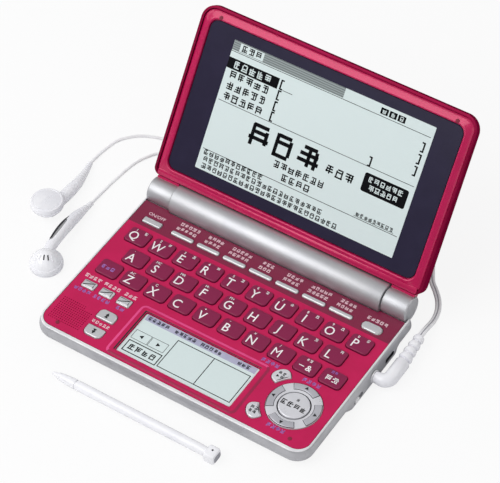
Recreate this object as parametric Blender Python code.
"""Electronic dictionary: a clamshell with a keyboard, a pen pad and a tilting screen.

The touch pen lies in front of it, and its earphones are plugged in at the right.
Metres, +X to the right, +Y to the rear, +Z up. The origin is the centre of the base's
underside. The lid stands open, as in use.
"""

import math

import bmesh
import bpy
from mathutils import Vector

# Fits and clearances
TOUCH_GAP = 0.0003
KEY_GAP = 0.0003
KNUCKLE_GAP = 0.0005
SEAM_GAP = 0.0004
OVERRUN = 0.002

# Base case
CASE_WIDTH = 0.148
CASE_DEPTH = 0.0947
CASE_HEIGHT = 0.0095
BARREL_OVERHANG = 0.0089
CASE_FRONT_RADIUS = 0.0085
CASE_REAR_RADIUS = 0.003
EDGE_TUCK = 0.0032
CASE_WALL = 0.0032
CASE_FLOOR = 0.0013
RIM_SIDE = 0.0017
RIM_FRONT = 0.0025
POCKET_RADIUS = 0.0065
REAR_RIM = 0.0034
REAR_WALL = 0.0027
FOOT_RADIUS = 0.0035
FOOT_HEIGHT = 0.0006
FOOT_INSET = 0.011
BOSS_RADIUS = 0.002
BOSS_INSET = 0.005
BOSS_SPREAD_SHARE = 0.636
CORNER_STEPS = 5

# The case's skin from the underside to the rim: shares of its height, and of the edge tuck
CASE_SKIN_SHARES = (
    (0.0, 1.0), (0.05, 0.62), (0.16, 0.27), (0.34, 0.08), (0.58, 0.0), (0.9, 0.08), (1.0, 0.28),
)

# Hinge barrel, battery bay and its cover
BARREL_RADIUS = 0.0075
HINGE_HEIGHT = 0.0122
BARREL_WALL = 0.0016
BAY_END = 0.0113
COVER_WALL = 0.0012
COVER_INSET = 0.001
COVER_LOW_ANGLE = math.radians(-52)
COVER_HIGH_ANGLE = math.radians(14)
COVER_ANGLE_GAP = math.radians(2.4)
CELL_ROOM = 0.0007
CELL_SLACK = 0.005
CELL_NUB_RADIUS = 0.0019
CELL_NUB_LENGTH = 0.001

# Deck, keyboard and pads. A share across is of the deck's width, with places counted from its middle;
# a share along is of its depth, with places counted from its front.
DECK_THICKNESS = 0.0015
KEY_RISE = 0.0009
KEY_FLANGE = 0.0004
KEY_FLANGE_HEIGHT = 0.0004
KEY_EDGE = 0.0004
KEY_TRAVEL = 0.0005
MAT_THICKNESS = 0.0007
MAT_CORNER = 0.004
LETTER_SIZE_SHARES = (0.07917, 0.1048)
LETTER_PITCH_SHARES = (0.09479, 0.13624)
TOP_ROW_SHARES = (-0.42667, 0.75923)
STAGGER_SHARES = (0.0, 0.5, 0.0)
LETTER_RADIUS_SHARE = 0.2
LETTER_ROWS = (
    ("key_q", "key_w", "key_e", "key_r", "key_t", "key_y", "key_u", "key_i", "key_o", "key_p"),
    ("key_a", "key_s", "key_d", "key_f", "key_g", "key_h", "key_j", "key_k", "key_l"),
    ("shift_key", "key_z", "key_x", "key_c", "key_v", "key_b", "key_n", "key_m", "symbol_key", "delete_key"),
)
# Silver keys: place across and along, width, depth, and the corner's radius as a share of that depth
POWER_SHARES = (-0.42431, 0.89082, 0.07083, 0.03959, 0.206)
BOOK_SHARES = (-0.30465, 0.89082, 0.08472, 0.02562, 0.409)
BOOK_PITCH_SHARE = 0.10181
BOOK_KEYS = 7
LIGHT_SHARES = (0.42257, 0.89082, 0.07292, 0.05357, 0.478)
SMALL_SHARES = (-0.44396, 0.33886, 0.04861, 0.05124, 0.136)
SMALL_PITCH_SHARE = 0.06889
SMALL_KEYS = 3
PAGE_UP_SHARES = (-0.31771, 0.20902, 0.06736, 0.0687, 0.136)
PAGE_DOWN_SHARES = (-0.31771, 0.08501, 0.06736, 0.0687, 0.136)
PAGE_ROUND_SHARE = 0.4545
# The cursor ring: its place, its radius in the space beside the pad, and its parts as shares of its radius
RING_SHARES = (0.38056, 0.23057)
RING_ACROSS_SHARE = 0.31197
RING_ALONG_SHARE = 0.34584
RING_BORE_SHARE = 0.60465
PAD_INNER_SHARE = 0.72093
FAN_INNER_SHARE = 1.20155
FAN_LENGTH_SHARE = 0.47287
PAD_RISE = 0.0004
PAD_HALF_ANGLE = math.radians(32)
FAN_HALF_ANGLE = math.radians(13.5)
FAN_SPREAD = math.radians(39)
FAN_SHARES = (
    (1.0, 0.0), (0.5, 0.0), (0.0, 0.0), (-0.5, 0.0), (-1.0, 0.0),
    (-1.12, 0.3), (-0.95, 0.72), (-0.5, 0.97), (0.0, 1.0), (0.5, 0.97), (0.95, 0.72), (1.12, 0.3),
)
PAD_WINDOW_SHARES = (-0.00417, 0.19796, 0.43403, 0.30043)
PAD_WINDOW_RADIUS = 0.0006
PAD_FRAME = 0.0018
PAD_SINK = 0.0008

# Board, speaker and sockets inside the base
BOARD_THICKNESS = 0.0008
BOARD_MARGIN = 0.0025
SPEAKER_MARGIN = 0.0014
SPEAKER_FRONT = 0.00225
SPEAKER_DEPTH = 0.004
# Places along the right wall: shares of the case's depth, counted from its front
JACK_PLACE_SHARE = 0.62724
PORT_PLACE_SHARE = 0.76769
SWITCH_PLACE_SHARE = 0.48258
SWELL_ENDS_SHARES = (0.37381, 0.86906)
JACK_Z = 0.0044
JACK_WIDTH = 0.0064
JACK_HEIGHT = 0.0046
JACK_LENGTH = 0.0135
JACK_BORE = 0.0021
PORT_Z = 0.0041
PORT_WIDTH = 0.0076
PORT_HEIGHT = 0.0022
PORT_LENGTH = 0.009
PORT_SHELL = 0.0005
SIDE_SWELL = 0.0004
SWELL_TAPER = 0.0048
SWELL_HEIGHT = 0.0059
SWITCH_Z = 0.0036
SWITCH_SLOT_HEIGHT = 0.0028
SWITCH_DEPTH = 0.0013
SWITCH_KNOB = (0.0032, 0.0022)
SWITCH_PROUD = 0.0005
SWITCH_TRAVEL = 0.003

# Lid, in its own closed frame: Y runs back to the hinge axis, Z is up when it is shut
LID_OPEN_ANGLE = math.radians(125.4)
LID_SHORT = 0.0009
LID_FACE = -0.0023
LID_THICKNESS = 0.0063
LID_RISE = 0.0038
LID_NEAR_RADIUS = 0.0035
LID_FAR_RADIUS = 0.0075
LID_WALL = 0.0013
LID_BACK_WALL = 0.002
LID_TUCK = 0.0018
LID_SKIN_SHARES = ((0.0, 1.0), (0.07, 0.56), (0.22, 0.25), (0.45, 0.07), (0.72, 0.0), (0.88, 0.03))
BEZEL_SLOPE = 0.0006
BEZEL_BACK = 0.0029
BEZEL_SHOULDER = 0.0013
BEZEL_SIDE = 0.00565
BEZEL_NEAR = 0.00515
BEZEL_FAR = 0.0059
WINDOW_RADIUS = 0.0045
WINDOW_SINK = 0.001
WINDOW_THICKNESS = 0.0008
WINDOW_BEVEL = 0.0009
WINDOW_LEDGE = 0.002
SCREEN_SIDE = 0.00635
SCREEN_NEAR_EDGE = 0.00365
SCREEN_FAR_EDGE = 0.0032
SCREEN_THICKNESS = 0.0019

# Hinge ears on the lid
EAR_STEP = 0.0011
EAR_LENGTH = 0.0131
EAR_CHAMFER = 0.0007
EAR_NECK_LOW = -0.001
EAR_NECK_HIGH = 0.003
TONGUE_LOW = 0.0009
TONGUE_HIGH = 0.0017
TONGUE_REACH = 0.0158
TONGUE_MARGIN = 0.0015
PIN_RADIUS = 0.002
PIN_LENGTH = 0.008

# Touch pen
PEN_TIP_SHARE = -0.35
PEN_OFFSET = 0.0148
PEN_LENGTH = 0.0902
PEN_RADIUS = 0.0024
PEN_CAP_LENGTH = 0.0055
PEN_CAP_WIDTH = 0.0070
PEN_CAP_HEIGHT = 0.0056
PEN_SIDES = 12
# Turned stations of the pen: shares of its length, and of its radius
PEN_SHARES = (
    (0.0, 0.16), (0.006, 0.3), (0.018, 0.36), (0.046, 0.42), (0.048, 0.56), (0.17, 0.86), (0.26, 0.92),
    (0.262, 0.8), (0.272, 0.8), (0.274, 1.0), (0.9, 1.0), (0.935, 0.92),
)

# Earphone plug: an angled moulding with a ribbed strain relief
PLUG_PIN_RADIUS = 0.00175
PLUG_PIN_LENGTH = 0.014
PLUG_NECK_RADIUS = 0.0027
PLUG_RADIUS = 0.0035
PLUG_REACH = 0.0064
PLUG_BODY_LENGTH = 0.0139
PLUG_BEND = 0.0035
RELIEF_LENGTH = 0.0165
RELIEF_INSET = 0.0009
RELIEF_END_RADIUS = 0.0026
RELIEF_GROOVES = 4
GROOVE_WIDTH = 0.0008
GROOVE_DEPTH = 0.0008
PLUG_SIDES = 12

# Earphone leads: a flat twin lead, wound up behind the base, then two single leads
FLOOR_Z = -FOOT_HEIGHT
TWIN_WIDTH = 0.003
TWIN_THICKNESS = 0.0015
LEAD_DIAMETER = 0.0015
TWIN_ROUTE = (
    (0.0799, 0.0383, 0.0044), (0.0798, 0.0420, 0.0042), (0.0795, 0.0470, 0.0028),
    (0.0790, 0.0525, 0.0010), (0.0776, 0.0585, 0.00016), (0.0748, 0.0640, 0.00015),
    (0.0706, 0.0688, 0.00015), (0.0662, 0.0730, 0.00015), (0.0625, 0.0790, 0.00015),
    (0.0585, 0.0860, 0.00015), (0.0535, 0.0918, 0.00015), (0.0478, 0.0956, 0.00015),
    (0.0430, 0.0970, 0.00015), (0.0403, 0.0972, 0.00015), (0.0373, 0.0972, 0.00015),
)
COIL_X = 0.034
COIL_Y = 0.076
COIL_OUTER = 0.0212
COIL_PITCH = 0.0034
COIL_TURNS = 6
COIL_LAYER = 0.0021
COIL_STEPS = 20
COIL_TAIL = 0.014
SPLITTER_LENGTH = 0.014
SPLITTER_RADIUS = 0.00285
SPLITTER_END_SHARES = (0.62, 0.86)
LEFT_ROUTE = (
    (0.0054, 0.0959, 0.00225), (0.0020, 0.0959, 0.0022), (-0.0055, 0.0951, 0.0012),
    (-0.0140, 0.0925, 0.00015), (-0.0200, 0.0865, 0.00015), (-0.0215, 0.0775, 0.00015),
    (-0.0200, 0.0680, 0.00015), (-0.0250, 0.0605, 0.00015), (-0.0335, 0.0590, 0.00015),
    (-0.0400, 0.0645, 0.00015), (-0.0415, 0.0735, 0.00015), (-0.0430, 0.0825, 0.00015),
    (-0.0500, 0.0885, 0.00015), (-0.0585, 0.0870, 0.00015), (-0.0635, 0.0795, 0.00015),
    (-0.0690, 0.0735, 0.00015), (-0.0780, 0.0735, 0.00015), (-0.0850, 0.0750, 0.00015),
    (-0.0905, 0.0725, 0.00015), (-0.0955, 0.0630, 0.00015), (-0.0975, 0.0500, 0.00015),
    (-0.0982, 0.0390, 0.00015), (-0.0982, 0.0330, 0.0005), (-0.0980, 0.0287, 0.0011),
)
RIGHT_ROUTE = (
    (0.0054, 0.0985, 0.00225), (0.0020, 0.0985, 0.0022), (-0.0060, 0.0985, 0.0012),
    (-0.0170, 0.0965, 0.00015), (-0.0245, 0.0895, 0.00015), (-0.0260, 0.0795, 0.00015),
    (-0.0252, 0.0705, 0.00015), (-0.0290, 0.0650, 0.00015), (-0.0340, 0.0655, 0.00015),
    (-0.0365, 0.0730, 0.00015), (-0.0375, 0.0840, 0.00015), (-0.0430, 0.0915, 0.00015),
    (-0.0520, 0.0940, 0.00015), (-0.0625, 0.0915, 0.00015), (-0.0690, 0.0845, 0.00015),
    (-0.0770, 0.0815, 0.00015), (-0.0860, 0.0828, 0.00015), (-0.0940, 0.0825, 0.00015),
    (-0.1045, 0.0782, 0.00015), (-0.1115, 0.0705, 0.00015), (-0.1138, 0.0610, 0.00015),
    (-0.1142, 0.0545, 0.0004), (-0.1140, 0.0499, 0.0009),
)
TWIN_SPACING = 0.006
LEAD_SPACING = 0.0045

# Earbuds: one lies on its grille, the other on its back
BUD_RADIUS = 0.0082
BUD_HEIGHT = 0.0096
BUD_SIDES = 20
# Turned head from the grille to the top of its dome: shares of its height, and of its radius
BUD_SHARES = (
    (0.0, 0.86), (0.05, 0.95), (0.2, 1.0), (0.36, 0.98), (0.48, 0.88), (0.7, 0.66), (0.9, 0.38), (1.0, 0.12),
)
STEM_SIDES = 10
LEFT_BUD = (-0.0938, -0.0143)
LEFT_STEM = (
    (-0.0946, -0.0125, 0.0052, 0.0024), (-0.0960, -0.0070, 0.0053, 0.0028), (-0.0970, 0.0010, 0.0050, 0.0029),
    (-0.0978, 0.0090, 0.0042, 0.0030), (-0.0981, 0.0170, 0.0030, 0.0026), (-0.0980, 0.0240, 0.0018, 0.0016),
    (-0.0980, 0.0284, 0.0011, 0.0012),
)
RIGHT_BUD = (-0.1130, 0.0133)
RIGHT_STEM = (
    (-0.1126, 0.0150, 0.0026, 0.0026), (-0.1106, 0.0210, 0.0027, 0.0031), (-0.1096, 0.0280, 0.0027, 0.0031),
    (-0.1099, 0.0350, 0.0022, 0.0027), (-0.1115, 0.0420, 0.0015, 0.0019), (-0.1140, 0.0496, 0.0009, 0.0012),
)

# Values that follow from the sizes above
HALF_WIDTH = CASE_WIDTH / 2
FOOTPRINT_DEPTH = CASE_DEPTH + BARREL_OVERHANG
CASE_FRONT = -FOOTPRINT_DEPTH / 2
CASE_REAR = CASE_FRONT + CASE_DEPTH
HINGE_Y = FOOTPRINT_DEPTH / 2 - BARREL_RADIUS
DECK_BOTTOM = CASE_HEIGHT - DECK_THICKNESS
LEDGE_Z = DECK_BOTTOM - TOUCH_GAP
FLANGE_TOP = DECK_BOTTOM - TOUCH_GAP
KEY_BOTTOM = FLANGE_TOP - KEY_FLANGE_HEIGHT
KEY_TOP = CASE_HEIGHT + KEY_RISE
MAT_TOP = KEY_BOTTOM - KEY_TRAVEL - TOUCH_GAP / 3
MAT_BOTTOM = MAT_TOP - MAT_THICKNESS
BOARD_TOP = MAT_BOTTOM - TOUCH_GAP
BOARD_BOTTOM = BOARD_TOP - BOARD_THICKNESS
POCKET_HALF = HALF_WIDTH - RIM_SIDE
POCKET_FRONT = CASE_FRONT + RIM_FRONT
CAVITY_HALF = HALF_WIDTH - CASE_WALL
CAVITY_FRONT = CASE_FRONT + CASE_WALL + RIM_SIDE / 2
CAVITY_REAR = HINGE_Y - BARREL_RADIUS - TOUCH_GAP - REAR_WALL
SWELL_FACE = HALF_WIDTH + SIDE_SWELL
SOCKET_END = CAVITY_HALF - TOUCH_GAP
JACK_Y = CASE_FRONT + CASE_DEPTH * JACK_PLACE_SHARE
PORT_Y = CASE_FRONT + CASE_DEPTH * PORT_PLACE_SHARE
SWITCH_Y = CASE_FRONT + CASE_DEPTH * SWITCH_PLACE_SHARE
SWITCH_SLOT_LENGTH = SWITCH_KNOB[0] + SWITCH_TRAVEL + 4 * TOUCH_GAP
SWELL_FRONT = CASE_FRONT + CASE_DEPTH * SWELL_ENDS_SHARES[0]
SWELL_REAR = CASE_FRONT + CASE_DEPTH * SWELL_ENDS_SHARES[1]
BAY_RADIUS = BARREL_RADIUS - BARREL_WALL
CELL_RADIUS = BAY_RADIUS - CELL_ROOM
EAR_RADIUS = BARREL_RADIUS - EAR_STEP
EAR_OUTER = POCKET_HALF - KNUCKLE_GAP
EAR_INNER = EAR_OUTER - EAR_LENGTH
BARREL_LENGTH = 2 * (EAR_INNER - SEAM_GAP)
TROUGH_SIDE = BARREL_LENGTH / 2 + SEAM_GAP / 2
BAY_LENGTH = BARREL_LENGTH - 2 * BAY_END
COVER_LENGTH = BAY_LENGTH - 2 * COVER_INSET
CELL_LENGTH = (BAY_LENGTH - CELL_SLACK) / 2 - CELL_NUB_LENGTH
DECK_HALF = POCKET_HALF - TOUCH_GAP
DECK_WIDTH = 2 * DECK_HALF
DECK_FRONT = POCKET_FRONT + TOUCH_GAP
DECK_DROP = HINGE_HEIGHT - CASE_HEIGHT
DECK_REAR = HINGE_Y - math.sqrt((BARREL_RADIUS + SEAM_GAP) ** 2 - DECK_DROP**2)
DECK_EAR_REAR = HINGE_Y - math.sqrt((EAR_RADIUS + SEAM_GAP) ** 2 - DECK_DROP**2)
DECK_DEPTH = DECK_REAR - DECK_FRONT
LETTER_WIDTH = DECK_WIDTH * LETTER_SIZE_SHARES[0]
LETTER_DEPTH = DECK_DEPTH * LETTER_SIZE_SHARES[1]
LETTER_PITCH = DECK_WIDTH * LETTER_PITCH_SHARES[0]
ROW_PITCH = DECK_DEPTH * LETTER_PITCH_SHARES[1]
TOP_ROW_X = DECK_WIDTH * TOP_ROW_SHARES[0]
TOP_ROW_Y = DECK_FRONT + DECK_DEPTH * TOP_ROW_SHARES[1]
KEYS_FRONT = TOP_ROW_Y - 2 * ROW_PITCH - LETTER_DEPTH / 2
PAD_WINDOW_X = DECK_WIDTH * PAD_WINDOW_SHARES[0]
PAD_WINDOW_Y = DECK_FRONT + DECK_DEPTH * PAD_WINDOW_SHARES[1]
PAD_WINDOW_WIDTH = DECK_WIDTH * PAD_WINDOW_SHARES[2]
PAD_WINDOW_DEPTH = DECK_DEPTH * PAD_WINDOW_SHARES[3]
PAD_WINDOW_RIGHT = PAD_WINDOW_X + PAD_WINDOW_WIDTH / 2
RING_SPOT = (DECK_WIDTH * RING_SHARES[0], DECK_FRONT + DECK_DEPTH * RING_SHARES[1])
RING_ACROSS = (DECK_HALF - PAD_WINDOW_RIGHT) * RING_ACROSS_SHARE
RING_ALONG = (KEYS_FRONT - DECK_FRONT) * RING_ALONG_SHARE
RING_RADIUS = min(RING_ACROSS, RING_ALONG)
RING_BORE = RING_RADIUS * RING_BORE_SHARE
PAD_INNER = RING_RADIUS * PAD_INNER_SHARE
PAD_OUTER = RING_RADIUS - KEY_EDGE
ENTER_RADIUS = RING_BORE - KNUCKLE_GAP
FAN_INNER = RING_RADIUS * FAN_INNER_SHARE
FAN_LENGTH = RING_RADIUS * FAN_LENGTH_SHARE
PAGE_LEFT = DECK_WIDTH * (PAGE_UP_SHARES[0] - PAGE_UP_SHARES[2] / 2) - KEY_FLANGE
SPEAKER_RADIUS = (PAGE_LEFT + CAVITY_HALF) / 2 - SPEAKER_MARGIN
SPEAKER_X = SPEAKER_MARGIN + SPEAKER_RADIUS - CAVITY_HALF
SPEAKER_Y = CAVITY_FRONT + SPEAKER_FRONT + SPEAKER_RADIUS
LID_WIDTH = CASE_WIDTH
LID_NEAR = BARREL_RADIUS + TOUCH_GAP
LID_FAR = HINGE_Y - CASE_FRONT - LID_SHORT
WINDOW_WIDTH = LID_WIDTH - 2 * BEZEL_SIDE
WINDOW_NEAR = LID_NEAR + BEZEL_NEAR
WINDOW_FAR = LID_FAR - BEZEL_FAR
SCREEN_WIDTH = WINDOW_WIDTH - 2 * SCREEN_SIDE
SCREEN_NEAR = WINDOW_NEAR + SCREEN_NEAR_EDGE
SCREEN_FAR = WINDOW_FAR - SCREEN_FAR_EDGE
LID_BACK = LID_FACE + LID_THICKNESS
PEN_TIP_X = CASE_WIDTH * PEN_TIP_SHARE
PEN_Y = CASE_FRONT - PEN_OFFSET
PEN_Z = FLOOR_Z + PEN_CAP_HEIGHT / 2
COIL_LOW = FLOOR_Z + TWIN_THICKNESS / 2


def make_material(name, colour, roughness, metallic=0.0):
    """A Principled material of one colour."""
    material = bpy.data.materials.new(name)
    material.use_nodes = True
    shader = material.node_tree.nodes["Principled BSDF"]
    shader.inputs["Base Color"].default_value = (*colour, 1.0)
    shader.inputs["Roughness"].default_value = roughness
    shader.inputs["Metallic"].default_value = metallic
    material.diffuse_color = (*colour, 1.0)
    return material


def add_object(name, data, material, parent=None, location=(0.0, 0.0, 0.0)):
    """Link a mesh or curve as one named sub-part."""
    part = bpy.data.objects.new(name, data)
    bpy.context.scene.collection.objects.link(part)
    part.parent = parent
    part.location = location
    if material and not data.materials:
        data.materials.append(material)
    return part


def finish_mesh(name, bm, smooth_angle=math.radians(32)):
    """Turn a bmesh into mesh data with outward faces and smooth rounds."""
    bmesh.ops.recalc_face_normals(bm, faces=bm.faces)
    mesh = bpy.data.meshes.new(name)
    bm.to_mesh(mesh)
    bm.free()
    mesh.shade_smooth()
    mesh.set_sharp_from_angle(angle=smooth_angle)
    return mesh


def skin_mesh(name, rings, ring_closed=False):
    """Faces from each ring of points to the next, capped at both ends or joined in a loop."""
    bm = bmesh.new()
    rows = [[bm.verts.new(point) for point in ring] for ring in rings]
    pairs = list(zip(rows, rows[1:]))
    if ring_closed:
        pairs.append((rows[-1], rows[0]))
    for low, high in pairs:
        for i, corner in enumerate(low):
            j = (i + 1) % len(low)
            bm.faces.new((corner, low[j], high[j], high[i]))
    if not ring_closed:
        bm.faces.new(list(reversed(rows[0])))
        bm.faces.new(rows[-1])
    return finish_mesh(name, bm)


def rounded_outline(left, right, front, rear, front_radius, rear_radius, steps=CORNER_STEPS):
    """A rectangle with round corners, anticlockwise from its front right corner."""
    corners = (
        (right - front_radius, front + front_radius, front_radius, -math.pi / 2),
        (right - rear_radius, rear - rear_radius, rear_radius, 0.0),
        (left + rear_radius, rear - rear_radius, rear_radius, math.pi / 2),
        (left + front_radius, front + front_radius, front_radius, math.pi),
    )
    outline = []
    for x, y, radius, start in corners:
        for step in range(steps + 1):
            angle = start + math.pi / 2 * step / steps
            outline.append((x + radius * math.cos(angle), y + radius * math.sin(angle)))
    return outline


def key_outline(width, depth, radius, x=0.0, y=0.0, steps=2):
    """A key's outline about its own centre."""
    return rounded_outline(x - width / 2, x + width / 2, y - depth / 2, y + depth / 2, radius, radius, steps)


def circle_outline(x, y, radius, sides):
    """A circle as a list of points, anticlockwise."""
    turn = 2 * math.pi / sides
    return [(x + radius * math.cos(turn * i), y + radius * math.sin(turn * i)) for i in range(sides)]


def grown(outline, distance):
    """The outline moved outwards by a distance, each point along its two edges' normals."""
    moved = []
    for i, point in enumerate(outline):
        before = Vector(outline[i - 1])
        here = Vector(point)
        after = Vector(outline[(i + 1) % len(outline)])
        first = (here - before).normalized()
        second = (after - here).normalized()
        normal = Vector((first.y + second.y, -first.x - second.x)).normalized()
        reach = distance / max(normal.dot(Vector((first.y, -first.x))), 0.5)
        moved.append(tuple(here + normal * reach))
    return moved


def at_height(outline, z):
    """A flat outline lifted to a height."""
    return [(x, y, z) for x, y in outline]


def prism_mesh(name, outline, levels):
    """A solid whose outline grows or shrinks by a distance at each level: (height, distance)."""
    return skin_mesh(name, [at_height(grown(outline, distance), z) for z, distance in levels])


def box_mesh(name, low, high):
    """A plain block between two corners, for cuts and inner pieces."""
    outline = [(low[0], low[1]), (high[0], low[1]), (high[0], high[1]), (low[0], high[1])]
    return skin_mesh(name, [at_height(outline, low[2]), at_height(outline, high[2])])


def plate_mesh(name, outline, holes, bottom, top):
    """A flat plate with holes: its face is filled between the loops, then extruded."""
    bm = bmesh.new()
    edges = []
    for loop in (outline, *holes):
        verts = [bm.verts.new((x, y, bottom)) for x, y in loop]
        edges += [bm.edges.new((vert, verts[(i + 1) % len(verts)])) for i, vert in enumerate(verts)]
    bmesh.ops.triangle_fill(bm, use_beauty=True, edges=edges)
    lifted = bmesh.ops.extrude_face_region(bm, geom=list(bm.faces))
    verts = [item for item in lifted["geom"] if isinstance(item, bmesh.types.BMVert)]
    bmesh.ops.translate(bm, verts=verts, vec=(0.0, 0.0, top - bottom))
    return finish_mesh(name, bm)


def turned_mesh(name, stations, sides, y=0.0, z=0.0):
    """A solid turned about a line along X, from stations of (x, radius)."""
    rings = []
    for x, radius in stations:
        rings.append([(x, y + across, z + up) for across, up in circle_outline(0.0, 0.0, radius, sides)])
    return skin_mesh(name, rings)


def swept_mesh(name, stations, sides):
    """A round solid along a path, from stations of (place, direction, radius)."""
    rings = []
    for place, direction, radius in stations:
        turn = Vector(direction).to_track_quat("Z", "Y").to_matrix()
        circle = circle_outline(0.0, 0.0, radius, sides)
        rings.append([tuple(Vector(place) + turn @ Vector((x, y, 0.0))) for x, y in circle])
    return skin_mesh(name, rings)


def join_solids(part, tools, operation):
    """Cut the tools out of a part, or unite them with it, by Boolean modifiers."""
    for tool in tools:
        tool.hide_render = True
        tool.display_type = "WIRE"
        modifier = part.modifiers.new(tool.name, "BOOLEAN")
        modifier.operation = operation
        modifier.solver = "EXACT"
        modifier.object = tool


def tool_object(name, mesh, part):
    """A guide solid for a Boolean, in the same frame as the part that it shapes."""
    return add_object(name, mesh, None, part.parent)


def smooth_route(route, spacing):
    """Points along a smooth curve through a route's points, about one spacing apart."""
    points = [Vector(point) for point in route]
    padded = [2 * points[0] - points[1], *points, 2 * points[-1] - points[-2]]
    smooth = []
    for before, start, end, after in zip(padded, padded[1:], padded[2:], padded[3:]):
        steps = max(1, round((end - start).length / spacing))
        for step in range(steps):
            t = step / steps
            bend = (2 * before - 5 * start + 4 * end - after) * t**2
            twist = (3 * start - before - 3 * end + after) * t**3
            smooth.append(start + (end - before) * t / 2 + bend / 2 + twist / 2)
    smooth.append(points[-1])
    return smooth


def lead_curve(name, points, thickness, width, resolution, material):
    """A lead as a tube along its points: round, or flat where it is wider than it is thick."""
    curve = bpy.data.curves.new(name, "CURVE")
    curve.dimensions = "3D"
    curve.twist_mode = "Z_UP"
    curve.bevel_depth = thickness / 2
    curve.bevel_resolution = resolution
    curve.extrude = (width - thickness) / 2
    curve.use_fill_caps = True
    spline = curve.splines.new("POLY")
    spline.points.add(len(points) - 1)
    for place, point in zip(points, spline.points):
        point.co = (*place, 1.0)
        point.tilt = math.pi / 2
    return add_object(name, curve, material)


def build_case(material):
    """The base's lower shell: tucked edges, rim, deck ledge, cavity and the barrel's trough."""
    def ring(height, side, front, rear, front_radius, rear_radius):
        half = HALF_WIDTH - side
        low, high = CASE_FRONT + front, CASE_REAR - rear
        outline = rounded_outline(-half, half, low, high, front_radius, rear_radius)
        return at_height(outline, height)

    rings = []
    for height_share, tuck_share in CASE_SKIN_SHARES:
        inset = tuck_share * EDGE_TUCK
        radius = CASE_FRONT_RADIUS - inset / 2
        rings.append(ring(height_share * CASE_HEIGHT, inset, inset, inset / 2, radius, CASE_REAR_RADIUS))
    for height in (CASE_HEIGHT, LEDGE_Z):
        rings.append(ring(height, RIM_SIDE, RIM_FRONT, REAR_RIM, POCKET_RADIUS, RIM_SIDE))
    for height in (LEDGE_Z, CASE_FLOOR):
        rings.append(ring(
            height, CASE_WALL, CAVITY_FRONT - CASE_FRONT, CASE_REAR - CAVITY_REAR, POCKET_RADIUS, CASE_WALL))
    case = add_object("bottom_case", skin_mesh("bottom_case", rings), material)
    join_solids(case, [tool_object("side_swell", side_swell_mesh(), case)], "UNION")
    join_solids(case, [tool_object("foot_studs", stud_mesh(), case)], "UNION")
    join_solids(case, [tool_object("board_bosses", boss_mesh(), case)], "UNION")
    inside = CAVITY_HALF - OVERRUN
    jack = ((inside, JACK_BORE), (SWELL_FACE + OVERRUN, JACK_BORE))
    slot_end = SWELL_FACE - SWITCH_DEPTH
    cuts = (
        trough_mesh(),
        turned_mesh("jack_hole", jack, 16, JACK_Y, JACK_Z),
        side_slot_mesh("port_hole", PORT_Y, PORT_Z, PORT_WIDTH, PORT_HEIGHT, inside),
        side_slot_mesh("switch_slot", SWITCH_Y, SWITCH_Z, SWITCH_SLOT_LENGTH, SWITCH_SLOT_HEIGHT, slot_end),
    )
    join_solids(case, [tool_object(mesh.name, mesh, case) for mesh in cuts], "DIFFERENCE")


def side_swell_mesh():
    """The thicker stretch of the right wall that holds the sockets."""
    rings = []
    for y, face in (
        (SWELL_FRONT, HALF_WIDTH - EDGE_TUCK / 2),
        (SWELL_FRONT + SWELL_TAPER, SWELL_FACE),
        (SWELL_REAR - SWELL_TAPER, SWELL_FACE),
        (SWELL_REAR, HALF_WIDTH - EDGE_TUCK / 2),
    ):
        chamfer = SIDE_SWELL * 2
        rings.append([
            (SOCKET_END, y, SIDE_SWELL),
            (face - chamfer, y, SIDE_SWELL),
            (face, y, SIDE_SWELL + chamfer),
            (face, y, SWELL_HEIGHT - chamfer),
            (face - SIDE_SWELL, y, SWELL_HEIGHT),
            (SOCKET_END, y, SWELL_HEIGHT),
        ])
    return skin_mesh("side_swell", rings)


def side_slot_mesh(name, y, z, width, height, inner):
    """A block that cuts a slot into the right wall."""
    low = (inner, y - width / 2, z - height / 2)
    high = (SWELL_FACE + OVERRUN, y + width / 2, z + height / 2)
    return box_mesh(name, low, high)


def merged_mesh(name, meshes):
    """Several guide solids as the separate islands of one mesh."""
    bm = bmesh.new()
    for mesh in meshes:
        bm.from_mesh(mesh)
    return finish_mesh(name, bm)


def stud_mesh():
    """Four round feet under the corners of the base."""
    studs = []
    for x in (FOOT_INSET - HALF_WIDTH, HALF_WIDTH - FOOT_INSET):
        for y in (CASE_FRONT + FOOT_INSET, CASE_REAR - FOOT_INSET):
            levels = ((FLOOR_Z, -FOOT_HEIGHT / 2), (0.0, 0.0), (CASE_FLOOR / 2, 0.0))
            studs.append(prism_mesh("foot", circle_outline(x, y, FOOT_RADIUS, 16), levels))
    return merged_mesh("foot_studs", studs)


def boss_places():
    """Where the board stands on bosses: near its corners and at its middle."""
    side = CAVITY_HALF * BOSS_SPREAD_SHARE
    front, rear = CAVITY_FRONT + BOSS_INSET, CAVITY_REAR - BOSS_INSET
    return ((-side, front), (side, front), (0.0, 0.0), (-side, rear), (side, rear))


def boss_mesh():
    """Bosses on the floor of the base that carry the board."""
    top = BOARD_BOTTOM - TOUCH_GAP
    bosses = []
    for x, y in boss_places():
        outline = circle_outline(x, y, BOSS_RADIUS, 10)
        bosses.append(skin_mesh("boss", [at_height(outline, CASE_FLOOR / 2), at_height(outline, top)]))
    return merged_mesh("board_bosses", bosses)


def trough_mesh():
    """The hollow across the rear of the base: wide for the barrel, narrower for the lid's ears."""
    barrel = BARREL_RADIUS + TOUCH_GAP
    ear = EAR_RADIUS + KNUCKLE_GAP
    end = POCKET_HALF + TOUCH_GAP / 3
    stations = (
        (-end, ear), (-TROUGH_SIDE, ear), (-TROUGH_SIDE, barrel),
        (TROUGH_SIDE, barrel), (TROUGH_SIDE, ear), (end, ear),
    )
    return turned_mesh("barrel_trough", stations, 40, HINGE_Y, HINGE_HEIGHT)


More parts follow.
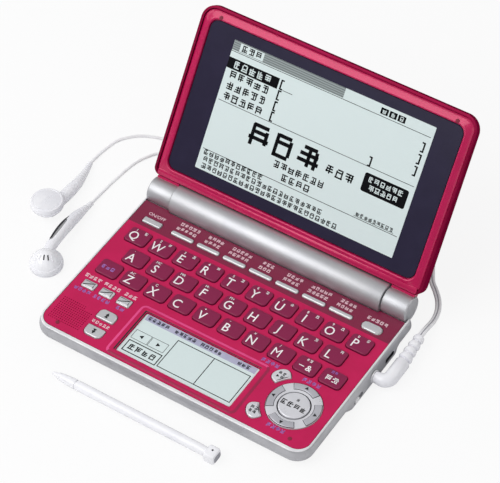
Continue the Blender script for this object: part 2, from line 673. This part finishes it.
def letter_places():
    """Each letter key's name and centre, row by row."""
    places = []
    for row, names in enumerate(LETTER_ROWS):
        start = TOP_ROW_X + STAGGER_SHARES[row] * LETTER_PITCH
        for column, name in enumerate(names):
            places.append((name, start + column * LETTER_PITCH, TOP_ROW_Y - row * ROW_PITCH))
    return places


def fan_outline(middle):
    """A fan-shaped key beside the cursor ring, about the ring's centre."""
    outline = []
    for angle_share, reach_share in FAN_SHARES:
        angle = middle + angle_share * FAN_HALF_ANGLE
        radius = FAN_INNER + reach_share * FAN_LENGTH
        outline.append((radius * math.cos(angle), radius * math.sin(angle)))
    return outline


def deck_spot(shares):
    """A place on the deck from its shares of the deck's width and depth."""
    return DECK_WIDTH * shares[0], DECK_FRONT + DECK_DEPTH * shares[1]


def silver_outline(shares, x=0.0, y=0.0):
    """A silver key's outline from its table of shares."""
    depth = DECK_DEPTH * shares[3]
    return key_outline(DECK_WIDTH * shares[2], depth, depth * shares[4], x, y)


def page_outline(shares, round_front):
    """A page key, round at the front or the rear and nearly square at the other side."""
    half_width, depth = DECK_WIDTH * shares[2] / 2, DECK_DEPTH * shares[3]
    radii = (depth * shares[4], depth * PAGE_ROUND_SHARE)
    front_radius, rear_radius = reversed(radii) if round_front else radii
    return rounded_outline(-half_width, half_width, -depth / 2, depth / 2, front_radius, rear_radius, 2)


def moving_keys():
    """The keys beside the letters that move on their own: name, centre and outline."""
    return (
        ("power_key", deck_spot(POWER_SHARES), silver_outline(POWER_SHARES)),
        ("page_up_key", deck_spot(PAGE_UP_SHARES), page_outline(PAGE_UP_SHARES, False)),
        ("page_down_key", deck_spot(PAGE_DOWN_SHARES), page_outline(PAGE_DOWN_SHARES, True)),
        ("voice_key", RING_SPOT, fan_outline(math.pi - FAN_SPREAD)),
        ("back_key", RING_SPOT, fan_outline(math.pi + FAN_SPREAD)),
    )


def mat_keys():
    """The silver keys moulded on the mat: outlines where they stand."""
    outlines = [silver_outline(LIGHT_SHARES, *deck_spot(LIGHT_SHARES))]
    for shares, pitch_share, count in (
        (BOOK_SHARES, BOOK_PITCH_SHARE, BOOK_KEYS),
        (SMALL_SHARES, SMALL_PITCH_SHARE, SMALL_KEYS),
    ):
        x, y = deck_spot(shares)
        outlines += [silver_outline(shares, x + i * pitch_share * DECK_WIDTH, y) for i in range(count)]
    return outlines


def moved(outline, x, y):
    """An outline shifted in its plane."""
    return [(px + x, py + y) for px, py in outline]


def deck_outline():
    """The deck's edge: round at the front, stepped at the rear round the barrel and the ears."""
    step = BARREL_LENGTH / 2
    frame = rounded_outline(
        -DECK_HALF, DECK_HALF, DECK_FRONT, DECK_EAR_REAR, POCKET_RADIUS - TOUCH_GAP, POCKET_RADIUS, 4)
    right, left = frame[:5], frame[15:]
    rear = [(DECK_HALF, DECK_EAR_REAR), (step, DECK_EAR_REAR), (step, DECK_REAR), (-step, DECK_REAR),
            (-step, DECK_EAR_REAR), (-DECK_HALF, DECK_EAR_REAR)]
    return right + rear + left


def build_deck(material):
    """The flat deck with an opening for every key, the cursor ring and the pen pad."""
    letter = key_outline(LETTER_WIDTH, LETTER_DEPTH, LETTER_DEPTH * LETTER_RADIUS_SHARE)
    holes = [moved(grown(letter, KEY_GAP), x, y) for _, x, y in letter_places()]
    holes += [moved(grown(outline, KEY_GAP), *spot) for _, spot, outline in moving_keys()]
    holes += [grown(outline, KEY_GAP) for outline in mat_keys()]
    holes.append(circle_outline(*RING_SPOT, RING_RADIUS + KEY_GAP, 24))
    holes.append(key_outline(
        PAD_WINDOW_WIDTH, PAD_WINDOW_DEPTH, PAD_WINDOW_RADIUS, PAD_WINDOW_X, PAD_WINDOW_Y, 1))
    mesh = plate_mesh("keyboard_deck", deck_outline(), holes, DECK_BOTTOM, CASE_HEIGHT)
    add_object("keyboard_deck", mesh, material)


def build_letter_keys(material):
    """Three rows of letter keys that share one mesh: a cap over a wider flange."""
    outline = key_outline(LETTER_WIDTH, LETTER_DEPTH, LETTER_DEPTH * LETTER_RADIUS_SHARE)
    levels = (
        (KEY_BOTTOM, KEY_FLANGE), (FLANGE_TOP, KEY_FLANGE), (FLANGE_TOP, 0.0), (KEY_TOP - KEY_EDGE, 0.0),
        (KEY_TOP, -KEY_EDGE),
    )
    mesh = prism_mesh("letter_key", outline, levels)
    for name, x, y in letter_places():
        add_object(name, mesh, material, location=(x, y, 0.0))


def build_silver_keys(material):
    """The silver keys that move on their own."""
    top = KEY_TOP - KEY_EDGE / 2
    levels = ((KEY_BOTTOM, KEY_FLANGE), (FLANGE_TOP, KEY_FLANGE), (FLANGE_TOP, 0.0), (top - KEY_EDGE, 0.0),
              (top, -KEY_EDGE))
    for name, spot, outline in moving_keys():
        add_object(name, prism_mesh(name, outline, levels), material, location=(*spot, 0.0))


def build_cursor_ring(material):
    """The cursor ring with four raised pads, and the enter key in its bore."""
    base = CASE_HEIGHT + KEY_EDGE
    foot = RING_RADIUS + KEY_FLANGE
    profile = (
        (RING_BORE, KEY_BOTTOM), (foot, KEY_BOTTOM), (foot, FLANGE_TOP), (RING_RADIUS, FLANGE_TOP),
        (RING_RADIUS, base - KEY_EDGE / 2), (RING_RADIUS - KEY_EDGE, base), (RING_BORE, base),
    )
    rings = [at_height(circle_outline(0.0, 0.0, radius, 32), z) for radius, z in profile]
    mesh = skin_mesh("cursor_ring", rings, True)
    ring = add_object("cursor_ring", mesh, material, location=(*RING_SPOT, 0.0))
    pads = []
    for quarter in range(4):
        pad = pad_outline(quarter * math.pi / 2)
        pads.append(prism_mesh("pad", pad, ((base - KEY_EDGE, 0.0), (base + PAD_RISE / 2, 0.0),
                                            (base + PAD_RISE, -PAD_RISE / 2))))
    tool = tool_object("cursor_pads", merged_mesh("cursor_pads", pads), ring)
    tool.location = ring.location
    join_solids(ring, [tool], "UNION")
    outline = circle_outline(0.0, 0.0, ENTER_RADIUS, 24)
    top = KEY_TOP
    levels = ((KEY_BOTTOM, 0.0), (top - KEY_EDGE, 0.0), (top, -KEY_EDGE))
    add_object("enter_key", prism_mesh("enter_key", outline, levels), material, location=(*RING_SPOT, 0.0))


def pad_outline(middle, steps=5):
    """One raised pad of the cursor ring: a stretch of ring about a direction."""
    angles = [middle + PAD_HALF_ANGLE * (2 * i / steps - 1) for i in range(steps + 1)]
    outer = [(PAD_OUTER * math.cos(angle), PAD_OUTER * math.sin(angle)) for angle in angles]
    inner = [(PAD_INNER * math.cos(angle), PAD_INNER * math.sin(angle)) for angle in reversed(angles)]
    return outer + inner


def build_mat(material):
    """The rubber mat under the keys, with the small silver keys moulded on it."""
    side = CAVITY_HALF - TOUCH_GAP * 2
    rear = DECK_FRONT + DECK_DEPTH * (LIGHT_SHARES[1] + LIGHT_SHARES[3])
    waist = KEYS_FRONT - KEY_FLANGE
    right_leg = PAD_WINDOW_RIGHT + PAD_FRAME + TOUCH_GAP * 2
    left_leg = 2 * PAD_WINDOW_X - right_leg
    foot = CAVITY_FRONT + TOUCH_GAP * 2
    speaker_edge = SPEAKER_X + SPEAKER_RADIUS + TOUCH_GAP
    small_front = DECK_FRONT + DECK_DEPTH * (SMALL_SHARES[1] - SMALL_SHARES[3] / 2) - KEY_FLANGE
    notch = SOCKET_END - JACK_LENGTH - TOUCH_GAP
    notch_low = JACK_Y - JACK_WIDTH / 2 - TOUCH_GAP
    notch_high = JACK_Y + JACK_WIDTH / 2 + TOUCH_GAP
    outline = [
        (right_leg, foot), (side - MAT_CORNER, foot), (side, foot + MAT_CORNER), (side, notch_low),
        (notch, notch_low), (notch, notch_high), (side, notch_high), (side, rear), (-side, rear),
        (-side, small_front), (speaker_edge, small_front), (speaker_edge, foot), (left_leg, foot),
        (left_leg, waist), (right_leg, waist),
    ]
    mat = add_object("keypad_mat", plate_mesh("keypad_mat", outline, (), MAT_BOTTOM, MAT_TOP), material)
    top = KEY_TOP - KEY_EDGE / 2
    levels = ((MAT_TOP - MAT_THICKNESS / 2, 0.0), (top - KEY_EDGE, 0.0), (top, -KEY_EDGE))
    keys = [prism_mesh("mat_key", key, levels) for key in mat_keys()]
    join_solids(mat, [tool_object("mat_keys", merged_mesh("mat_keys", keys), mat)], "UNION")


def build_board(material):
    """The main board with its speaker, its earphone socket and its data socket."""
    side = CAVITY_HALF - BOARD_MARGIN
    front = CAVITY_FRONT + BOARD_MARGIN
    rear = CAVITY_REAR - BOARD_MARGIN
    notch = SOCKET_END - JACK_LENGTH + BOARD_MARGIN
    notch_low = JACK_Y - JACK_WIDTH / 2 - TOUCH_GAP
    notch_high = JACK_Y + JACK_WIDTH / 2 + TOUCH_GAP
    outline = [(-side, front), (side, front), (side, notch_low), (notch, notch_low), (notch, notch_high),
               (side, notch_high), (side, rear), (-side, rear)]
    board = add_object("main_board", plate_mesh("main_board", outline, (), BOARD_BOTTOM, BOARD_TOP), material)
    speaker = circle_outline(SPEAKER_X, SPEAKER_Y, SPEAKER_RADIUS, 24)
    speaker_top = DECK_BOTTOM - TOUCH_GAP
    jack_low = (SOCKET_END - JACK_LENGTH, JACK_Y - JACK_WIDTH / 2, JACK_Z - JACK_HEIGHT / 2)
    jack_high = (SOCKET_END, JACK_Y + JACK_WIDTH / 2, JACK_Z + JACK_HEIGHT / 2)
    port_half = PORT_WIDTH / 2 + PORT_SHELL
    port_low = (SOCKET_END - PORT_LENGTH, PORT_Y - port_half, PORT_Z - PORT_HEIGHT / 2 - PORT_SHELL)
    port_high = (SOCKET_END, PORT_Y + port_half, BOARD_BOTTOM + BOARD_THICKNESS / 2)
    sockets = (
        ("speaker", skin_mesh("speaker", [at_height(speaker, speaker_top - SPEAKER_DEPTH),
                                          at_height(speaker, speaker_top)])),
        ("jack_block", box_mesh("jack_block", jack_low, jack_high)),
        ("port_block", box_mesh("port_block", port_low, port_high)),
    )
    join_solids(board, [tool_object(name, mesh, board) for name, mesh in sockets], "UNION")
    bore_ends = ((SOCKET_END - JACK_LENGTH - OVERRUN, JACK_BORE), (SOCKET_END + OVERRUN, JACK_BORE))
    bore = turned_mesh("jack_bore", bore_ends, 16, JACK_Y, JACK_Z)
    join_solids(board, [tool_object("jack_bore", bore, board)], "DIFFERENCE")


def build_pen_pad(material):
    """The small touch screen in front of the keys, standing up into its window."""
    window = (PAD_WINDOW_WIDTH - 2 * TOUCH_GAP, PAD_WINDOW_DEPTH - 2 * TOUCH_GAP, PAD_WINDOW_RADIUS)
    outline = key_outline(*window, PAD_WINDOW_X, PAD_WINDOW_Y, 1)
    levels = ((BOARD_TOP + TOUCH_GAP, PAD_FRAME), (DECK_BOTTOM - TOUCH_GAP, PAD_FRAME),
              (DECK_BOTTOM - TOUCH_GAP, 0.0), (CASE_HEIGHT - PAD_SINK, 0.0))
    add_object("sub_display", prism_mesh("sub_display", outline, levels), material)


def build_switch(material):
    """The sound switch's knob in its slot in the right wall."""
    width, height = SWITCH_KNOB
    low_y = SWITCH_Y - SWITCH_SLOT_LENGTH / 2 + TOUCH_GAP * 2
    inner = SWELL_FACE - SWITCH_DEPTH + TOUCH_GAP
    low = (inner, low_y, SWITCH_Z - height / 2)
    high = (SWELL_FACE + SWITCH_PROUD, low_y + width, SWITCH_Z + height / 2)
    add_object("audio_switch", box_mesh("audio_switch", low, high), material)


def build_barrel(material):
    """The hinge barrel on the base: battery bay, its opening to the rear, and the pin holes."""
    half = BARREL_LENGTH / 2
    stations = ((-half, BARREL_RADIUS), (half, BARREL_RADIUS))
    barrel = add_object(
        "hinge_barrel", turned_mesh("hinge_barrel", stations, 40, HINGE_Y, HINGE_HEIGHT), material)
    bay = ((-BAY_LENGTH / 2, BAY_RADIUS), (BAY_LENGTH / 2, BAY_RADIUS))
    opening = cover_mesh("cover_opening", COVER_LENGTH / 2 + TOUCH_GAP, COVER_ANGLE_GAP,
                         BAY_RADIUS - COVER_WALL, BARREL_RADIUS + OVERRUN)
    bore = PIN_RADIUS + TOUCH_GAP
    depth = PIN_LENGTH + TOUCH_GAP
    cuts = [turned_mesh("battery_bay", bay, 32, HINGE_Y, HINGE_HEIGHT), opening]
    for name, side in (("left_pin_hole", -1), ("right_pin_hole", 1)):
        ends = sorted((side * (half + OVERRUN), side * (half - depth)))
        cuts.append(turned_mesh(name, [(end, bore) for end in ends], 16, HINGE_Y, HINGE_HEIGHT))
    join_solids(barrel, [tool_object(mesh.name, mesh, barrel) for mesh in cuts], "DIFFERENCE")


def cover_mesh(name, half_length, spare_angle, inner, outer, steps=8):
    """A curved panel of the barrel's rear wall, between two angles above and below level."""
    low, high = COVER_LOW_ANGLE - spare_angle, COVER_HIGH_ANGLE + spare_angle
    angles = [low + (high - low) * i / steps for i in range(steps + 1)]
    section = [(outer * math.cos(angle), outer * math.sin(angle)) for angle in angles]
    section += [(inner * math.cos(angle), inner * math.sin(angle)) for angle in reversed(angles)]
    rings = [[(x, HINGE_Y + y, HINGE_HEIGHT + z) for y, z in section] for x in (-half_length, half_length)]
    return skin_mesh(name, rings)


def build_battery_parts(cell_material, cover_material):
    """Two cells end to end in the bay, and the cover that closes it."""
    inner = BARREL_RADIUS - COVER_WALL
    panel = cover_mesh("battery_cover", COVER_LENGTH / 2, 0.0, inner, BARREL_RADIUS)
    add_object("battery_cover", panel, cover_material)
    edge = CELL_NUB_LENGTH / 2
    stations = []
    x = -CELL_LENGTH - CELL_NUB_LENGTH
    for _ in range(2):
        stations += [(x, CELL_RADIUS - edge), (x + edge, CELL_RADIUS), (x + CELL_LENGTH - edge, CELL_RADIUS),
                     (x + CELL_LENGTH, CELL_RADIUS - edge), (x + CELL_LENGTH, CELL_NUB_RADIUS),
                     (x + CELL_LENGTH + CELL_NUB_LENGTH, CELL_NUB_RADIUS)]
        x += CELL_LENGTH + CELL_NUB_LENGTH
    drop = BAY_RADIUS - CELL_RADIUS - TOUCH_GAP
    mesh = turned_mesh("batteries", stations, 20, HINGE_Y, HINGE_HEIGHT - drop)
    add_object("batteries", mesh, cell_material)


def lid_ring(side, near, far, near_radius, far_radius, z, steps=CORNER_STEPS):
    """A round-cornered ring on the shut lid: near and far are distances from the hinge axis."""
    return at_height(rounded_outline(-side, side, -far, -near, far_radius, near_radius, steps), z)


def tilted_ring(ring, share):
    """The ring lifted towards the hinge by this share of the lid's rise."""
    length = LID_FAR - LID_NEAR
    return [(x, y, z + share * LID_RISE * (LID_FAR + y) / length) for x, y, z in ring]


def build_lid_cover(axis, material):
    """The lid's outer shell: a tray with soft edges, thicker at the hinge, slotted for the tongues."""
    half = LID_WIDTH / 2
    rings = []
    last_share = LID_SKIN_SHARES[-1][0]
    for depth_share, tuck_share in LID_SKIN_SHARES:
        inset = tuck_share * LID_TUCK
        z = LID_BACK - depth_share * LID_THICKNESS
        ring = lid_ring(half - inset, LID_NEAR + inset, LID_FAR - inset, LID_NEAR_RADIUS,
                        LID_FAR_RADIUS - inset / 4, z)
        rings.append(tilted_ring(ring, 1 - depth_share / last_share))
    rim_z = rings[-1][0][2]
    inner = (half - LID_WALL, LID_NEAR + LID_WALL, LID_FAR - LID_WALL, LID_NEAR_RADIUS - LID_WALL / 2,
             LID_FAR_RADIUS - LID_WALL)
    rings.append(lid_ring(*inner, rim_z))
    rings.append(lid_ring(*inner, LID_BACK - LID_BACK_WALL))
    cover = add_object("lid_cover", skin_mesh("lid_cover", rings), material, axis)
    slots = []
    for name, side in (("left_slot", -1), ("right_slot", 1)):
        margin = TONGUE_MARGIN - TOUCH_GAP
        ends = sorted((side * (EAR_INNER + margin), side * (EAR_OUTER - margin)))
        low = (ends[0], -LID_NEAR - LID_WALL - OVERRUN, TONGUE_LOW - TOUCH_GAP)
        high = (ends[1], -LID_NEAR + OVERRUN, TONGUE_HIGH + TOUCH_GAP)
        slots.append(tool_object(name, box_mesh(name, low, high), cover))
    join_solids(cover, slots, "DIFFERENCE")


def build_bezel(axis, material):
    """The frame round the window: a sloped outer edge, a flat face, a bevel and an inner ledge."""
    half = LID_WIDTH / 2 - LID_WALL - TOUCH_GAP
    near, far = LID_NEAR + LID_WALL + TOUCH_GAP, LID_FAR - LID_WALL - TOUCH_GAP
    near_radius, far_radius = LID_NEAR_RADIUS - LID_WALL, LID_FAR_RADIUS - LID_WALL - TOUCH_GAP
    window = WINDOW_WIDTH / 2

    def outer(inset, z):
        return lid_ring(half - inset, near + inset / 3, far - inset, near_radius, far_radius, z)

    def inner(inset, z):
        near_edge, far_edge = WINDOW_NEAR + inset, WINDOW_FAR - inset
        return lid_ring(window - inset, near_edge, far_edge, WINDOW_RADIUS, WINDOW_RADIUS, z)

    back = LID_FACE + BEZEL_BACK
    ledge = LID_FACE + WINDOW_SINK + WINDOW_THICKNESS + TOUCH_GAP
    rings = [
        outer(0.0, back), outer(0.0, LID_FACE + BEZEL_SLOPE), outer(BEZEL_SHOULDER, LID_FACE),
        inner(-WINDOW_BEVEL, LID_FACE), inner(0.0, LID_FACE + WINDOW_SINK), inner(0.0, ledge),
        inner(WINDOW_LEDGE, ledge), inner(WINDOW_LEDGE, back),
    ]
    add_object("lid_bezel", skin_mesh("lid_bezel", rings, True), material, axis)


def build_screen(axis, window_material, screen_material):
    """The window pane in the bezel, and the display module behind it."""
    side = WINDOW_WIDTH / 2 - TOUCH_GAP
    front = LID_FACE + WINDOW_SINK
    rings = [
        lid_ring(side, WINDOW_NEAR + TOUCH_GAP, WINDOW_FAR - TOUCH_GAP, WINDOW_RADIUS, WINDOW_RADIUS, z)
        for z in (front, front + WINDOW_THICKNESS)
    ]
    add_object("display_window", skin_mesh("display_window", rings), window_material, axis)
    low = front + WINDOW_THICKNESS + TOUCH_GAP
    mesh = box_mesh("main_display", (-SCREEN_WIDTH / 2, -SCREEN_FAR, low),
                    (SCREEN_WIDTH / 2, -SCREEN_NEAR, low + SCREEN_THICKNESS))
    add_object("main_display", mesh, screen_material, axis)


def build_ears(axis, material):
    """The lid's two hinge ears: a drum on the axis, a neck and tongue to the lid, and a pin."""
    for name, side in (("hinge_ear_left", -1), ("hinge_ear_right", 1)):
        stations = [
            (side * (EAR_INNER - PIN_LENGTH), PIN_RADIUS), (side * EAR_INNER, PIN_RADIUS),
            (side * EAR_INNER, EAR_RADIUS), (side * (EAR_OUTER - EAR_CHAMFER), EAR_RADIUS),
            (side * EAR_OUTER, EAR_RADIUS - EAR_CHAMFER),
        ]
        ear = add_object(name, turned_mesh(name, stations, 32), material, axis)
        neck_ends = sorted((side * (EAR_INNER + TOUCH_GAP), side * (EAR_OUTER - EAR_CHAMFER)))
        neck = box_mesh(name + "_neck", (neck_ends[0], TOUCH_GAP - LID_NEAR, EAR_NECK_LOW),
                        (neck_ends[1], -EAR_CHAMFER, EAR_NECK_HIGH))
        tongue_ends = sorted((side * (EAR_INNER + TONGUE_MARGIN), side * (EAR_OUTER - TONGUE_MARGIN)))
        tongue = box_mesh(name + "_tongue", (tongue_ends[0], -TONGUE_REACH, TONGUE_LOW),
                          (tongue_ends[1], -EAR_CHAMFER, TONGUE_HIGH))
        tools = [tool_object(name + "_neck", neck, ear), tool_object(name + "_tongue", tongue, ear)]
        join_solids(ear, tools, "UNION")


def build_pen(material):
    """The touch pen: a nib, a cone, a grooved barrel and a flat-sided cap, as one skin."""
    rings = []
    for length_share, radius_share in PEN_SHARES:
        circle = circle_outline(0.0, 0.0, radius_share * PEN_RADIUS, PEN_SIDES)
        rings.append([(length_share * PEN_LENGTH, y, z) for y, z in circle])
    half_width, half_height = PEN_CAP_WIDTH / 2, PEN_CAP_HEIGHT / 2
    corner = half_height / 2
    for start, inset in ((PEN_CAP_LENGTH, corner / 2), (PEN_CAP_LENGTH - corner / 2, 0.0), (corner / 2, 0.0),
                         (0.0, corner / 2)):
        side, rise = half_width - inset, half_height - inset
        section = rounded_outline(-side, side, -rise, rise, corner, corner, 2)
        turned = section[4:] + section[:4]
        rings.append([(PEN_LENGTH - start, y, z) for y, z in turned])
    add_object("stylus", skin_mesh("stylus", rings), material, location=(PEN_TIP_X, PEN_Y, PEN_Z))


def build_plug(material):
    """The angled plug: a pin, a neck, a bend, a round body and a ribbed strain relief."""
    face = SWELL_FACE + TOUCH_GAP
    along, across = (1.0, 0.0, 0.0), (0.0, 1.0, 0.0)
    body_x = face + PLUG_REACH
    pin = PLUG_PIN_RADIUS
    tip = face - PLUG_PIN_LENGTH
    stations = [((tip, JACK_Y, JACK_Z), along, pin / 3), ((tip + pin, JACK_Y, JACK_Z), along, pin)]
    stations += [((face, JACK_Y, JACK_Z), along, radius) for radius in (pin, PLUG_NECK_RADIUS)]
    straight = body_x - PLUG_BEND
    stations.append(((straight, JACK_Y, JACK_Z), along, (PLUG_NECK_RADIUS + PLUG_RADIUS) / 2))
    steps = 5
    for step in range(1, steps):
        angle = math.pi / 2 * step / steps
        place = (straight + PLUG_BEND * math.sin(angle), JACK_Y + PLUG_BEND * (1 - math.cos(angle)), JACK_Z)
        stations.append((place, (math.cos(angle), math.sin(angle), 0.0), PLUG_RADIUS))
    body_end = JACK_Y + PLUG_BODY_LENGTH
    for y in (JACK_Y + PLUG_BEND, body_end):
        stations.append(((body_x, y, JACK_Z), across, PLUG_RADIUS))
    pitch = RELIEF_LENGTH / RELIEF_GROOVES
    for i in range(RELIEF_GROOVES):
        start = body_end + i * pitch
        fall = (i + 1) / RELIEF_GROOVES
        radius = PLUG_RADIUS + (RELIEF_END_RADIUS - PLUG_RADIUS) * fall
        x = body_x - RELIEF_INSET * fall
        groove_end = start + GROOVE_WIDTH
        for y, deep in ((start, 1), (groove_end, 1), (groove_end, 0), (start + pitch, 0)):
            stations.append(((x, y, JACK_Z), across, radius - deep * GROOVE_DEPTH))
    add_object("earphone_plug", swept_mesh("earphone_plug", stations, PLUG_SIDES), material)


def coil_points():
    """The wound twin lead: it spirals in on the floor, climbs a layer and spirals out again."""
    half_turns = COIL_TURNS / 2
    points = [Vector((COIL_X + TWIN_WIDTH, COIL_Y + COIL_OUTER, COIL_LOW))]
    for step in range(COIL_TURNS * COIL_STEPS + 1):
        turn = step / COIL_STEPS
        radius = COIL_OUTER - COIL_PITCH * (half_turns - abs(turn - half_turns))
        climb = min(max((turn - half_turns) * 2 + 0.5, 0.0), 1.0)
        height = COIL_LOW + COIL_LAYER * climb * climb * (3 - 2 * climb)
        angle = math.pi / 2 + 2 * math.pi * turn
        points.append(Vector((COIL_X + radius * math.cos(angle), COIL_Y + radius * math.sin(angle), height)))
    points.append(points[-1] - Vector((COIL_TAIL, 0.0, 0.0)))
    return points


def least_gap(points):
    """The least clearance of the flat lead to itself, between places over a loop's quarter apart."""
    apart = COIL_STEPS // 2
    flat = TWIN_WIDTH - TWIN_THICKNESS
    gaps = []
    for i, here in enumerate(points):
        for there in points[i + apart:]:
            level = math.hypot(there.x - here.x, there.y - here.y)
            gaps.append(math.hypot(max(level - flat, 0.0), there.z - here.z) - TWIN_THICKNESS)
    return min(gaps)


def build_leads(material):
    """The twin lead from the plug, its coil, the splitter and the two single leads."""
    twin = smooth_route(TWIN_ROUTE, TWIN_SPACING)
    lead_curve("twin_lead", twin, TWIN_THICKNESS, TWIN_WIDTH, 2, material)
    coil = coil_points()
    lead_curve("lead_coil", coil, TWIN_THICKNESS, TWIN_WIDTH, 1, material)
    print(f"least gap in the coil: {least_gap(coil):.5f} m")
    start = coil[-1].x - TOUCH_GAP
    y, z = coil[-1].y, coil[-1].z
    thin, blunt = (share * SPLITTER_RADIUS for share in SPLITTER_END_SHARES)
    end = start - SPLITTER_LENGTH
    places = (
        (start, thin), (start - SPLITTER_RADIUS, SPLITTER_RADIUS), (end + SPLITTER_RADIUS, SPLITTER_RADIUS),
        (end, blunt),
    )
    add_object("lead_splitter", turned_mesh("lead_splitter", places[::-1], 12, y, z), material)
    for name, route in (("left_lead", LEFT_ROUTE), ("right_lead", RIGHT_ROUTE)):
        lead_curve(name, smooth_route(route, LEAD_SPACING), LEAD_DIAMETER, LEAD_DIAMETER, 1, material)


def bud_head_mesh(x, y, low, upside_down):
    """A bud's head: a shallow drum that domes away from its grille."""
    shares = [(1 - height, radius) for height, radius in reversed(BUD_SHARES)] if upside_down else BUD_SHARES
    rings = []
    for height_share, radius_share in shares:
        outline = circle_outline(x, y, radius_share * BUD_RADIUS, BUD_SIDES)
        rings.append(at_height(outline, low + height_share * BUD_HEIGHT))
    return skin_mesh("bud_head", rings)


def stem_mesh(name, stem):
    """A bud's stem: round sections along its own bend, from inside the head to the lead."""
    places = [Vector(station[:3]) for station in stem]
    stations = []
    for i, place in enumerate(places):
        before, after = places[max(i - 1, 0)], places[min(i + 1, len(places) - 1)]
        stations.append((place, after - before, stem[i][3]))
    return swept_mesh(name, stations, STEM_SIDES)


def build_buds(material):
    """The two earbuds: the left one face down, the right one face up."""
    for name, spot, stem, upside_down in (
        ("left_earbud", LEFT_BUD, LEFT_STEM, False),
        ("right_earbud", RIGHT_BUD, RIGHT_STEM, True),
    ):
        bud = add_object(name, bud_head_mesh(*spot, FLOOR_Z, upside_down), material)
        join_solids(bud, [tool_object(name + "_stem", stem_mesh(name + "_stem", stem), bud)], "UNION")


def clear_scene():
    """Start from an empty scene."""
    for item in list(bpy.data.objects):
        bpy.data.objects.remove(item, do_unlink=True)


def build():
    """Model every sub-part of the dictionary."""
    clear_scene()
    silver = make_material("silver_case", (0.62, 0.62, 0.64), 0.35, 0.6)
    red = make_material("red_deck", (0.60, 0.03, 0.11), 0.35)
    dark_red = make_material("lid_red", (0.22, 0.0, 0.02), 0.25)
    plum = make_material("letter_keys", (0.26, 0.02, 0.08), 0.4)
    key_silver = make_material("silver_keys", (0.65, 0.65, 0.66), 0.3, 0.5)
    rubber = make_material("mat_rubber", (0.3, 0.3, 0.32), 0.8)
    board = make_material("board", (0.03, 0.16, 0.06), 0.5)
    cell = make_material("cell", (0.5, 0.5, 0.5), 0.3, 0.8)
    smoked = make_material("smoked_window", (0.03, 0.025, 0.045), 0.1)
    glass = make_material("screen", (0.66, 0.76, 0.76), 0.2)
    white = make_material("white_plastic", (0.85, 0.85, 0.87), 0.3)
    steel = make_material("switch_steel", (0.8, 0.8, 0.8), 0.3, 0.3)

    build_case(silver)
    build_deck(red)
    build_letter_keys(plum)
    build_silver_keys(key_silver)
    build_cursor_ring(key_silver)
    build_mat(rubber)
    build_board(board)
    build_pen_pad(glass)
    build_switch(steel)
    build_barrel(silver)
    build_battery_parts(cell, silver)

    axis = add_object("lid_axis", None, None, location=(0.0, HINGE_Y, HINGE_HEIGHT))
    axis.rotation_euler = (-LID_OPEN_ANGLE, 0.0, 0.0)
    build_lid_cover(axis, dark_red)
    build_bezel(axis, red)
    build_screen(axis, smoked, glass)
    build_ears(axis, silver)

    build_pen(white)
    build_plug(white)
    build_leads(white)
    build_buds(white)


build()
